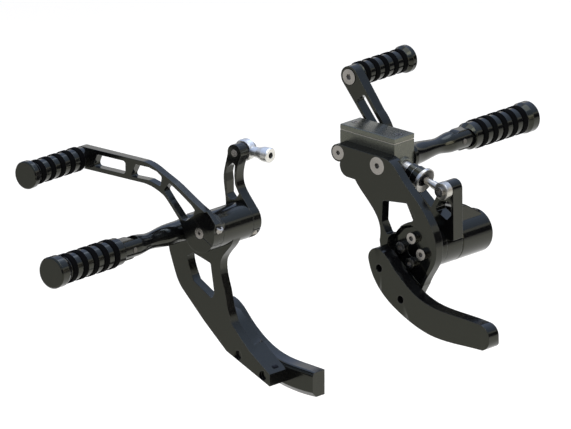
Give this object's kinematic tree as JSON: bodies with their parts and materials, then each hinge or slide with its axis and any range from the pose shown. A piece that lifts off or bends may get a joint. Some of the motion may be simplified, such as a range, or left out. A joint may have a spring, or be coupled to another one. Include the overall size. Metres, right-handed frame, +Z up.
{
  "type": "motorcycle forward foot controls",
  "caption": "Left gear-change and right rear-brake foot control units with folding foot pegs, pedals, shift arm, rod end and master cylinder, set apart as on the frame.",
  "frame": {"origin": "on the motorcycle's centre plane, on the common axis of the two foot pegs", "axes": "+X to the rear, +Y to the motorcycle's right side, +Z up"},
  "size_m": [0.3193, 0.8, 0.2679],
  "materials": {
    "black_anodised": "glossy black anodised milled aluminium",
    "screw_steel": "satin stainless steel",
    "bright_steel": "bright zinc plated steel",
    "black_steel": "black oxide steel",
    "bush_bronze": "plain bronze",
    "ring_rubber": "matt black rubber",
    "soft_rubber": "matt soft rubber"
  },
  "bodies": {
    "fixed_parts": {"left_frame_plate": "black_anodised", "left_bracket": "black_anodised", "left_frame_bolts": "black_steel", "left_peg_arm": "black_anodised", "left_peg_pin": "screw_steel", "left_peg_bolt": "screw_steel", "shift_bushes": "bush_bronze", "right_frame_plate": "black_anodised", "right_bracket": "black_anodised", "plate_screw": "screw_steel", "right_peg_bolt": "screw_steel", "right_peg_arm": "black_anodised", "right_peg_pin": "screw_steel", "master_cylinder": "black_anodised", "tank_gasket": "soft_rubber", "tank_lid": "black_anodised", "lid_screws": "screw_steel", "cylinder_sleeve": "bright_steel", "adjuster_collar": "black_anodised", "cylinder_disc": "bright_steel", "rubber_boot": "soft_rubber", "pivot_carrier": "black_anodised", "carrier_screws": "screw_steel", "brake_shaft": "black_steel"},
    "shifter": {"shift_lever": "black_anodised", "lever_clamp_screw": "screw_steel", "shift_toe_peg": "black_anodised", "shift_toe_rings": "ring_rubber", "shift_toe_screw": "screw_steel", "shift_shaft": "screw_steel", "shift_arm": "black_anodised", "arm_clamp_screw": "screw_steel", "rod_end_ball": "bright_steel", "rod_end_bolt": "screw_steel"},
    "rod_end": {"rod_end_body": "bright_steel"},
    "left_peg": {"left_peg_core": "black_anodised", "left_peg_rings": "ring_rubber"},
    "right_peg": {"right_peg_core": "black_anodised", "right_peg_rings": "ring_rubber"},
    "pedal": {"brake_pedal": "black_anodised", "brake_bush": "bush_bronze", "brake_toe_peg": "black_anodised", "brake_toe_rings": "ring_rubber", "brake_toe_screw": "screw_steel", "eye_screw": "screw_steel"},
    "pushrod": {"pushrod": "bright_steel", "pushrod_eye": "bright_steel"},
    "piston": {"piston": "bright_steel"}
  },
  "joints": [
    {"name": "shift_pivot", "type": "hinge", "parent": "fixed_parts", "child": "shifter", "pos_m": [0.04, -0.165, 0.0077], "axis": [0, 1, 0], "range_deg": [-12, 12]},
    {"name": "rod_end_swivel", "type": "hinge", "parent": "shifter", "child": "rod_end", "pos_m": [0.033, -0.119, 0.0819], "axis": [0, 1, 0], "range_deg": [-30, 30]},
    {"name": "left_peg_fold", "type": "hinge", "parent": "fixed_parts", "child": "left_peg", "pos_m": [0, -0.276, 0], "axis": [-1, 0, 0], "range_deg": [0, 70]},
    {"name": "right_peg_fold", "type": "hinge", "parent": "fixed_parts", "child": "right_peg", "pos_m": [0, 0.276, 0], "axis": [1, 0, 0], "range_deg": [0, 70]},
    {"name": "brake_pivot", "type": "hinge", "parent": "fixed_parts", "child": "pedal", "pos_m": [0.0448, 0.19, -0.0896], "axis": [0, -1, 0], "range_deg": [0, 9], "stiffness_Nm_per_rad": 15, "springref_deg": -8.59},
    {"name": "pushrod_pivot", "type": "hinge", "parent": "pedal", "child": "pushrod", "pos_m": [0.0672, 0.1733, -0.0229], "axis": [0, -1, 0], "range_deg": [-9.5, 0.5]},
    {"name": "piston_slide", "type": "slide", "parent": "fixed_parts", "child": "piston", "axis": [-0.9472, 0, 0.3206], "range_m": [-0.0003, 0.0115]}
  ],
  "couplings": [
    {"joint": "pushrod_pivot", "follows": "brake_pivot", "ratio": -1},
    {"joint": "piston_slide", "follows": "brake_pivot", "m_per_rad": 0.0703}
  ]
}
